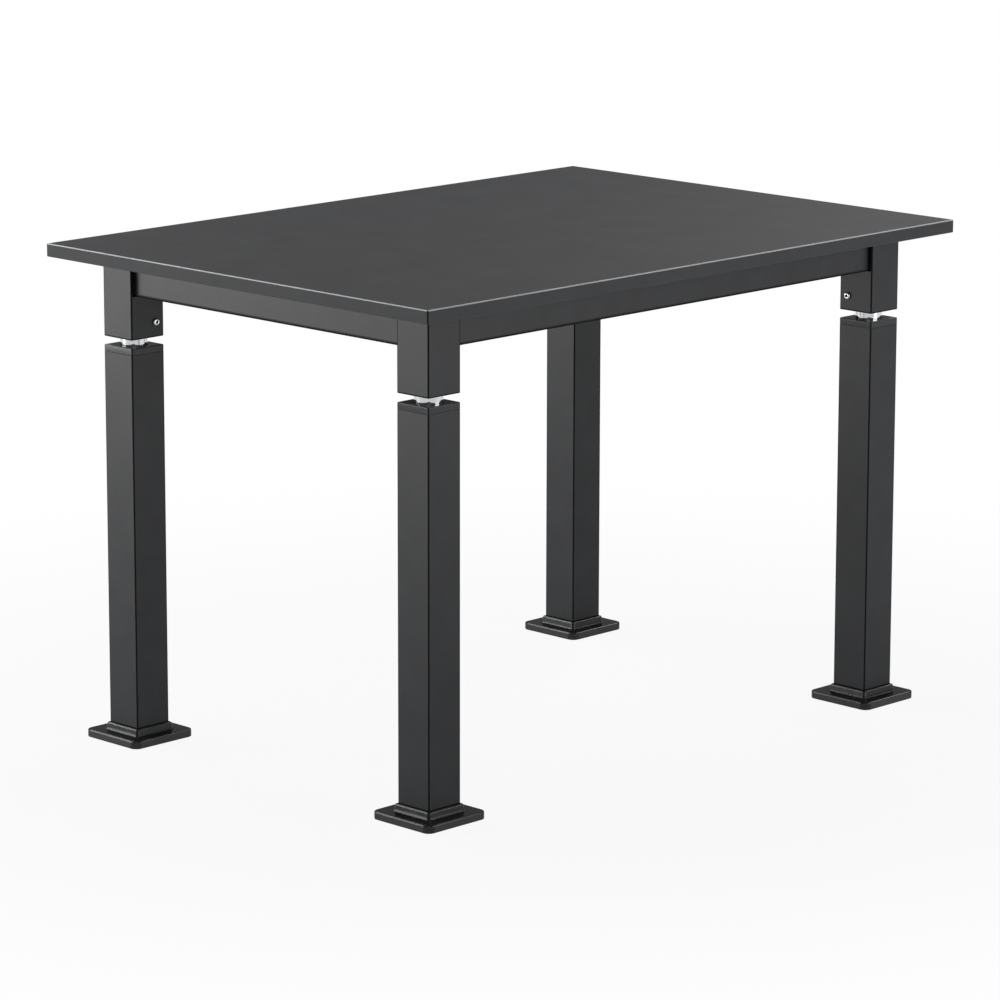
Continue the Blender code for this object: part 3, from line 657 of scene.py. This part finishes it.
class LABTABLE_OT_rails(bpy.types.Operator):
    """Make the four steel tubes of the rails, upright and then rolled to lie along X or Y."""

    bl_idname = "labtable.rails"
    bl_label = "Rails"

    def execute(self, context):
        sizes = context.scene.lab_table.sizes
        walls = np.array([0.0, 0.0, sizes.rail_wall, sizes.rail_wall])
        radius = np.where(walls > 0, sizes.tube_bore_corner, sizes.tube_corner)
        for side, roll in RAIL_ROLLS.items():
            node = "rail_" + side
            _, _, half, middle = extent(node)
            half = np.roll(half, -roll)
            along = half[2] * np.array([-1, 1, 1, -1])
            rings = rounded_rings(half[0] - walls, half[1] - walls, radius, along, sizes.rail_line)
            rings = np.roll(rings, roll, axis=-1) + middle
            # Painted shade along the rail's lower edges
            edge = corner_marks() * (rings[..., 2] < middle[2])
            install(node, "tube", context, rings, True, sizes.seam_edge, edge=edge)
        return {"FINISHED"}


class LABTABLE_OT_posts(bpy.types.Operator):
    """Make the four square posts, with the notches that take the rails.

    The rim of the sawn end is a quarter circle: at angle t, from the flat end to the side, it lies
    ease (1 - sin t) in from the side and ease (1 - cos t) up from the end.
    """

    bl_idname = "labtable.posts"
    bl_label = "Posts"

    def outline(self, half, radius, near, far, line):
        """Stations round a post: plan points of its wall, which are notched, and which are edges.

        The path runs anticlockwise from the front right corner. A notched side has two stations at
        each end of its notch, so that the wall's height changes there at once. Either end of a
        corner's arc has another station a line's width off it.
        """
        arc = np.linspace(-math.pi / 2, 0, ARC_STEPS + 1)
        arc = (half - radius) * (1 - 1j) + radius * np.exp(1j * arc)
        corner = np.concatenate([arc[:1] - line, arc, arc[-1:] + 1j * line])
        side = half + 1j * np.array([near, near, far, far])
        turned_side = half - 1j * np.array([far, far, near, near])
        plain = np.zeros(len(corner), bool)
        inside = np.pad(np.ones(len(arc), bool), 1)
        cut = np.array([False, True, True, False])
        flat = np.zeros(len(cut), bool)
        points = [corner, side, corner * 1j, turned_side * 1j, corner * -1, corner * -1j]
        cuts = [plain, cut, plain, cut, plain, plain]
        edges = [inside, flat, inside, flat, inside, inside]
        return [np.concatenate(stations) for stations in (points, cuts, edges)]

    def execute(self, context):
        sizes = context.scene.lab_table.sizes
        rail_low, rail_high, _, _ = extent("rail_front")
        low, high, (half, _, _), middle = extent("post_front_left")
        radius, bore_radius = sizes.tube_corner, sizes.tube_bore_corner
        bore = half - sizes.post_wall
        shelf = rail_low[2] - sizes.seat
        notch = (sizes.seat - bore, rail_high[1] - middle[1] + sizes.seat)
        line = sizes.edge_line
        outer, cut, edges = self.outline(half, radius, *notch, line)
        inner, _, _ = self.outline(bore, bore_radius, *notch, 0.0)
        top = np.where(cut, shelf, high[2])
        t = np.linspace(0, math.pi / 2, EDGE_STEPS + 1)
        rim = list(sizes.cut_edge * (1 - np.stack([np.sin(t), np.cos(t)], axis=-1)))
        walls = [
            (self.outline(half - inset, radius - inset, *notch, line)[0], low[2] + rise)
            for inset, rise in rim]
        walls += [
            (outer, low[2] + sizes.cut_edge + 2 * line), (outer, shelf), (outer, top),
            (inner, top), (inner, shelf)]
        walls += [
            (self.outline(bore + inset, bore_radius + inset, *notch, 0.0)[0], low[2] + rise)
            for inset, rise in reversed(rim)]
        rings = np.stack([
            np.stack([wall.real, wall.imag, np.broadcast_to(z, wall.shape)], axis=-1)
            for wall, z in walls])
        # Painted shade round the sawn end's rim and along the upright corners
        on_rim = np.arange(len(walls))[:, None] < len(rim)
        marks = np.maximum(on_rim, edges)
        for corner in CORNERS:
            node = "post_" + corner
            turned = at_leg(rings, corner)
            install(node, "tube", context, turned, True, sizes.seam_edge, edge=marks)
        return {"FINISHED"}


class LABTABLE_OT_lower_tubes(bpy.types.Operator):
    """Make the four square lower tubes, with painted shade along the seam of each foot and along
    the corners.
    """

    bl_idname = "labtable.lower_tubes"
    bl_label = "Lower tubes"

    def execute(self, context):
        sizes = context.scene.lab_table.sizes
        walls = np.array([0.0, 0.0, 0.0, 0.0, sizes.tube_wall, sizes.tube_wall])
        radius = np.where(walls > 0, sizes.tube_bore_corner, sizes.tube_corner)
        seam = sizes.foot_plate + sizes.foot_step + sizes.collar_height + sizes.seam_line
        above = seam + sizes.edge_line / 2
        # Painted shade on the ring above the foot and along the corners
        on_seam = np.array([1.0, 1.0, 0.0, 0.0, 0.0, 0.0])[:, None]
        edge = np.maximum(on_seam, corner_marks())
        for corner in CORNERS:
            node = "lower_tube_" + corner
            low, high, half, _ = extent(node)
            side = half[0] - walls
            height = np.array([low[2], seam, above, high[2], high[2], low[2]])
            rings = at_leg(rounded_rings(side, side, radius, height, sizes.edge_line), corner)
            install(node, "square", context, rings, True, sizes.seam_edge, edge=edge)
        return {"FINISHED"}


class LABTABLE_OT_caps(bpy.types.Operator):
    """Make the four caps, each with a rounded edge and a round opening for its column."""

    bl_idname = "labtable.caps"
    bl_label = "Caps"

    def execute(self, context):
        sizes = context.scene.lab_table.sizes
        opening = sizes.column_radius + sizes.slide
        corners = corner_marks(SIDE_POINTS)
        for corner in CORNERS:
            node = "tube_cap_" + corner
            (_, _, bottom), (_, _, top), (half, _, _), _ = extent(node)
            spigot = half - sizes.tube_wall - sizes.seat
            flange = top - sizes.cap_flange
            profile, arcs = filleted(
                [(spigot, bottom), (spigot, flange), (half, flange), (half, top), (spigot, top)],
                (0.0, sizes.seam_edge, sizes.cap_edge))
            side, height = profile.T
            radius = np.clip(sizes.tube_corner + side - half, sizes.tube_bore_corner, None)
            outside = rounded_rings(side, side, radius, height, sizes.edge_line, SIDE_POINTS)
            mouth, _ = filleted(
                [(sizes.cap_edge, top), (0.0, top), (0.0, bottom)], (sizes.cap_mouth,))
            inside = [bored_ring(outside[-1], opening + grow, z) for grow, z in mouth[1:]]
            rings = at_leg(np.concatenate([outside, inside]), corner)
            unmarked = ((0, len(inside)), (0, 0))
            # Painted shade on the upright corners below the top, and a painted highlight along the
            # upper edge, which stops at the corners
            edge = np.pad(corners * (height[:, None] < top), unmarked)
            rubbed = np.pad((arcs[:, None] == CAP_PAINTED_LIGHT) * (1 - corners), unmarked)
            install(node, "moulding", context, rings, True, edge=edge, rubbed=rubbed)
        return {"FINISHED"}


class LABTABLE_OT_columns(bpy.types.Operator):
    """Make the four bright round columns and the blocks that hold them in the posts."""

    bl_idname = "labtable.columns"
    bl_label = "Columns and blocks"

    def execute(self, context):
        sizes = context.scene.lab_table.sizes
        radius, bore = sizes.column_radius, sizes.column_bore
        socket = radius + sizes.seat
        for corner in CORNERS:
            node = "column_" + corner
            (_, _, bottom), (_, _, top), _, _ = extent(node)
            walls = ((radius, bottom), (radius, top), (bore, top), (bore, bottom))
            rings = at_leg(np.stack([round_ring(r, z) for r, z in walls]), corner)
            install(node, "round", context, rings, True, sizes.column_end)
            roof = top + sizes.seat
            node = "mounting_block_" + corner
            (_, _, bottom), (_, _, top), (half, _, _), _ = extent(node)
            outside = rounded_rings(
                half, half, sizes.tube_bore_corner, [bottom, top], sizes.edge_line, SIDE_POINTS)
            walls = ((bore, top), (bore, roof), (socket, roof), (socket, bottom))
            inside = [bored_ring(outside[0], r, z) for r, z in walls]
            rings = at_leg(np.concatenate([outside, inside]), corner)
            install(node, "moulding", context, rings, True, sizes.column_end)
        return {"FINISHED"}


class LABTABLE_OT_feet(bpy.types.Operator):
    """Make the four stepped feet."""

    bl_idname = "labtable.feet"
    bl_label = "Feet"

    def execute(self, context):
        sizes = context.scene.lab_table.sizes
        tube_low, _, (tube, _, _), _ = extent("lower_tube_front_left")
        rod_low, _, (rod, _, _), _ = extent("lift_rod_front_left")
        rod_flange = rod + sizes.seat
        floor = tube_low[2] - sizes.seat
        step_half = tube + sizes.step_margin
        collar_half = tube + sizes.collar_margin
        pocket = tube + sizes.seat
        plug = tube - sizes.tube_wall - sizes.seat
        edge = sizes.foot_edge
        fine = sizes.foot_fine_edge
        corners = corner_marks(FOOT_SIDE_POINTS)
        for corner in CORNERS:
            node = "foot_" + corner
            (_, _, sole), (_, _, high), (half, _, _), _ = extent(node)
            plate = sole + sizes.foot_plate
            step = plate + sizes.foot_step
            top = step + sizes.collar_height
            profile, arcs = filleted(
                [
                    (tube, sole), (half, sole), (half, plate), (step_half, plate),
                    (step_half, step), (collar_half + sizes.collar_slope, step),
                    (collar_half, top), (pocket, top), (pocket, floor), (plug, floor),
                    (plug, high), (rod_flange, high),
                ],
                (
                    sizes.foot_sole, edge, 0.0, fine, fine / 2, sizes.collar_shoulder,
                    sizes.collar_rim, 0.0, 0.0, fine,
                ))
            side, height = profile[:-1].T
            arcs = arcs[:-1]
            known = [plug, pocket, collar_half, step_half, half - edge, half]
            radii = [
                sizes.tube_bore_corner, sizes.tube_corner + sizes.seat, sizes.collar_corner,
                sizes.collar_corner, sizes.foot_corner - edge, sizes.foot_corner,
            ]
            radius = np.interp(side, known, radii)
            outside = rounded_rings(side, side, radius, height, sizes.edge_line, FOOT_SIDE_POINTS)
            seat = [bored_ring(outside[0], rod_flange, z) for z in (high, rod_low[2] - sizes.seat)]
            rings = at_leg(np.concatenate([outside, seat]), corner)
            unmarked = ((0, len(seat)), (0, 0))
            # Painted shade at the sole's edge and the pocket's rim; painted highlights on the upper
            # edges and painted light on the plate's sides, which stop at the corners
            seam = np.pad(np.isin(arcs, FOOT_PAINTED_SHADE)[:, None], unmarked)
            rubbed = np.where(side == half, SIDE_PAINTED_LIGHT, np.isin(arcs, FOOT_PAINTED_LIGHT))[:, None]
            rubbed = np.pad(rubbed * (1 - corners), unmarked)
            install(node, "moulding", context, rings, edge=seam, rubbed=rubbed)
        return {"FINISHED"}


class LABTABLE_OT_screws(bpy.types.Operator):
    """Make the button-head screws of the posts and the pan-head screws under the worktop."""

    bl_idname = "labtable.screws"
    bl_label = "Screws"

    def screw(self, sizes, head, head_height, total):
        """Rings of a screw along +Z about its middle, from tip to socket, and their edge marks.

        The dome over the rim is a quarter ellipse: at angle t it is crown + (head - crown) sin t
        from the axis and rim + (height - rim) cos t above the head's seat.
        """
        shank = sizes.shank_radius
        tip = head_height - total
        t = np.linspace(math.pi / 2, 0, EDGE_STEPS + 1)
        dome_radius = sizes.crown + (head - sizes.crown) * np.sin(t)
        dome_height = sizes.head_rim + (head_height - sizes.head_rim) * np.cos(t)
        radius = [shank - sizes.tip_chamfer, shank, shank, head, *dome_radius]
        height = [tip, tip + sizes.tip_chamfer, 0.0, 0.0, *dome_height]
        rings = [round_ring(r, z) for r, z in zip(radius, height)]
        rim = sizes.socket_rim
        rings += [
            round_ring(0.0, head_height, sizes.socket_flats + 2 * rim),
            round_ring(0.0, head_height - rim, sizes.socket_flats),
            round_ring(0.0, head_height - sizes.socket_depth, sizes.socket_flats),
        ]
        # Painted shade on the shank, the foot of the head and the socket
        marks = np.zeros((len(rings), 1))
        marks[list(SCREW_PAINTED_SHADE)] = 1.0
        return np.stack(rings) - np.array([0.0, 0.0, head_height - total / 2]), marks

    def execute(self, context):
        sizes = context.scene.lab_table.sizes
        kinds = (
            ("post_screw_a", "button_head", sizes.button_height),
            ("post_screw_b", "button_head", sizes.button_height),
            ("top_screw", "pan_head", sizes.pan_height),
        )
        for corner in CORNERS:
            for kind, form, head_height in kinds:
                node = f"{kind}_{corner}"
                _, _, half, middle = extent(node)
                head = np.median(half)
                axis = int(np.argmax(np.abs(half - head)))
                rings, marks = self.screw(sizes, head, head_height, 2 * half[axis])
                rings = np.roll(rings, axis - 2, axis=-1)
                if middle[axis] > 0:
                    rings[..., [axis, (axis + 1) % 3]] *= -1
                install(node, form, context, rings + middle, edge=marks)
        return {"FINISHED"}


class LABTABLE_OT_inner_parts(bpy.types.Operator):
    """Finish the plates, bolts, glides and rods, which keep their own shapes."""

    bl_idname = "labtable.inner_parts"
    bl_label = "Plates and inner parts"

    def execute(self, context):
        for kind in ("corner_plate", "column_bolt", "column_glide", "lift_rod"):
            for corner in CORNERS:
                node = f"{kind}_{corner}"
                slots = frame["nodes"][node].data.materials
                slots.clear()
                slots.append(finish_of(node, context))
        return {"FINISHED"}


class LABTABLE_OT_stage(bpy.types.Operator):
    """Set the camera, the pale floor, the white surround and the softboxes."""

    bl_idname = "labtable.stage"
    bl_label = "Stage"

    def camera(self, context):
        """Camera at the photograph's place: the shift moves its principal point off the middle."""
        data = bpy.data.cameras.new("photograph")
        data.sensor_width = SENSOR_MM
        data.lens = FOCAL_PIXELS * SENSOR_MM / IMAGE_SIDE
        data.shift_x = 0.5 - CENTRE_PIXEL[0] / IMAGE_SIDE
        data.shift_y = CENTRE_PIXEL[1] / IMAGE_SIDE - 0.5
        data.clip_end = VIEW_END
        camera = bpy.data.objects.new("photograph", data)
        across = Vector((math.cos(CAMERA_AZIMUTH), math.sin(CAMERA_AZIMUTH), 0.0))
        back = Vector(CAMERA_SIDE) * math.cos(CAMERA_ELEVATION)
        back.z = math.sin(CAMERA_ELEVATION)
        turn = Matrix((across, back.cross(across), back)).transposed()
        camera.matrix_world = Matrix.Translation(CAMERA_PLACE) @ turn.to_4x4()
        context.scene.collection.objects.link(camera)
        context.scene.camera = camera

    def surround(self, context, stage):
        """World that is white to the camera, dim in mirrors, and a soft light all around."""
        world = bpy.data.worlds.new("studio")
        tree = empty_tree(world)
        path = add(tree, "LightPath").outputs
        direct = add(tree, "Math", {
            0: path["Is Camera Ray"], 1: path["Is Transmission Ray"]}, operation="MAXIMUM")
        around = add(tree, "Mix", {
            "Factor": path["Is Glossy Ray"], "A": stage.ambient, "B": stage.mirrored})
        strength = add(tree, "Math", {0: direct, 1: around}, operation="MAXIMUM")
        light = add(tree, "Background", {"Color": WHITE, "Strength": strength})
        add(tree, "OutputWorld", {"Surface": light})
        context.scene.world = world

    def floor_paint(self, stage, colours):
        """Pale paint, white where it is seen, that ends out of view on the camera's side.

        Its whiteness grows with the distance from the table, so that the shadow stays near it, and
        in mirrors a painted shadow round the legs fades out the same way.
        """
        material = bpy.data.materials.new("pale_painted_floor")
        tree = empty_tree(material)
        place = add(tree, "TexCoord").outputs["Object"]
        away = add(tree, "VectorMath", {0: place}, operation="LENGTH")
        nearer = add(tree, "VectorMath", {0: place, 1: CAMERA_SIDE}, operation="DOT_PRODUCT")
        lift = add(tree, "MapRange", {
            "Value": away, **SHADOW, "To Min": 1 - stage.shadow}, interpolation_type="SMOOTHSTEP")
        # Painted shadow round the legs, seen only in mirrors
        dimmed = add(tree, "MapRange", {
            "Value": away, **DIM, "To Min": stage.near_floor}, interpolation_type="SMOOTHSTEP")
        pale = add(tree, "MapRange", {
            "Value": nearer, **PALE, "To Min": 1.0, "To Max": stage.camera_side},
            interpolation_type="SMOOTHSTEP")
        path = add(tree, "LightPath").outputs
        direct = add(tree, "Math", {
            0: path["Is Camera Ray"], 1: path["Is Transmission Ray"]}, operation="MAXIMUM")
        lifted = add(tree, "Math", {0: direct, 1: lift}, operation="MULTIPLY")
        whiteness = add(tree, "Math", {0: pale, 1: dimmed}, operation="MULTIPLY")
        mirrored = add(tree, "Math", {
            0: path["Is Glossy Ray"], 1: whiteness}, operation="MULTIPLY")
        seen = add(tree, "Math", {0: lifted, 1: mirrored}, operation="MAXIMUM")
        tone = add(tree, "Mix", {
            "Factor": pale, "A": colours.floor_dark, "B": colours.floor}, data_type="RGBA")
        paint = add(tree, "BsdfDiffuse", {"Color": tone})
        white = add(tree, "Emission", {"Color": WHITE})
        mixed = add(tree, "MixShader", {0: seen, 1: paint, 2: white})
        add(tree, "OutputMaterial", {"Surface": mixed})
        return material

    def floor(self, context, stage, colours):
        """Round floor of rings about the table, from the outermost in."""
        rings = np.stack([round_ring(radius, FLOOR_LEVEL) for radius in FLOOR_RADII])
        index = np.arange(rings[..., 0].size).reshape(rings.shape[:2])
        faces = band(index[:-1], index[1:]) + [index[-1].tolist()]
        mesh = bpy.data.meshes.new("studio_floor")
        mesh.from_pydata(rings.reshape(-1, 3), [], faces)
        mesh.materials.append(self.floor_paint(stage, colours))
        floor = bpy.data.objects.new("studio_floor", mesh)
        context.scene.collection.objects.link(floor)

    def softbox(self, context, name, place, width, height, watts):
        """Area lamp at a place, turned to shine at the table's middle and not itself in view."""
        data = bpy.data.lights.new(name, "AREA")
        data.shape = "RECTANGLE"
        data.size = width
        data.size_y = height
        data.energy = watts
        lamp = bpy.data.objects.new(name, data)
        lamp.location = place
        lamp.rotation_euler = (Vector(AIM) - Vector(place)).to_track_quat("-Z", "Y").to_euler()
        lamp.visible_camera = False
        context.scene.collection.objects.link(lamp)

    def execute(self, context):
        settings = context.scene.lab_table
        stage = settings.stage
        self.camera(context)
        self.surround(context, stage)
        self.floor(context, stage, settings.colours)
        for name, (setting, place, width, height) in SOFTBOXES.items():
            self.softbox(context, name, place, width, height, getattr(stage, setting))
        context.scene.view_settings.view_transform = "Standard"
        return {"FINISHED"}


OPERATORS = (
    LABTABLE_OT_worktop, LABTABLE_OT_rails, LABTABLE_OT_posts, LABTABLE_OT_lower_tubes,
    LABTABLE_OT_caps, LABTABLE_OT_columns, LABTABLE_OT_feet, LABTABLE_OT_screws,
    LABTABLE_OT_inner_parts, LABTABLE_OT_stage,
)


class LABTABLE_PT_panel(bpy.types.Panel):
    """Lists the table's pieces and settings in the sidebar."""

    bl_idname = "LABTABLE_PT_panel"
    bl_label = "Laboratory table"
    bl_space_type = "VIEW_3D"
    bl_region_type = "UI"
    bl_category = "Lab Table"

    def draw(self, context):
        settings = context.scene.lab_table
        for operator in OPERATORS:
            self.layout.operator(operator.bl_idname)
        for group in (settings.sizes, settings.colours, settings.stage):
            box = self.layout.box()
            for name in group.__annotations__:
                box.prop(group, name)


CLASSES = (
    LabTableSizes, LabTableColours, LabTableStage, LabTableSettings, *OPERATORS, LABTABLE_PT_panel,
)


def register():
    """Add the classes and hang the settings on the scene."""
    for item in CLASSES:
        bpy.utils.register_class(item)
    bpy.types.Scene.lab_table = PointerProperty(type=LabTableSettings)


def unregister():
    """Take the settings and the classes away again."""
    del bpy.types.Scene.lab_table
    for item in reversed(CLASSES):
        bpy.utils.unregister_class(item)


def main():
    """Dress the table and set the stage."""
    register()
    bpy.ops.labtable.worktop()
    bpy.ops.labtable.rails()
    bpy.ops.labtable.posts()
    bpy.ops.labtable.lower_tubes()
    bpy.ops.labtable.caps()
    bpy.ops.labtable.columns()
    bpy.ops.labtable.feet()
    bpy.ops.labtable.screws()
    bpy.ops.labtable.inner_parts()
    bpy.ops.labtable.stage()


if __name__ == "__main__":
    main()
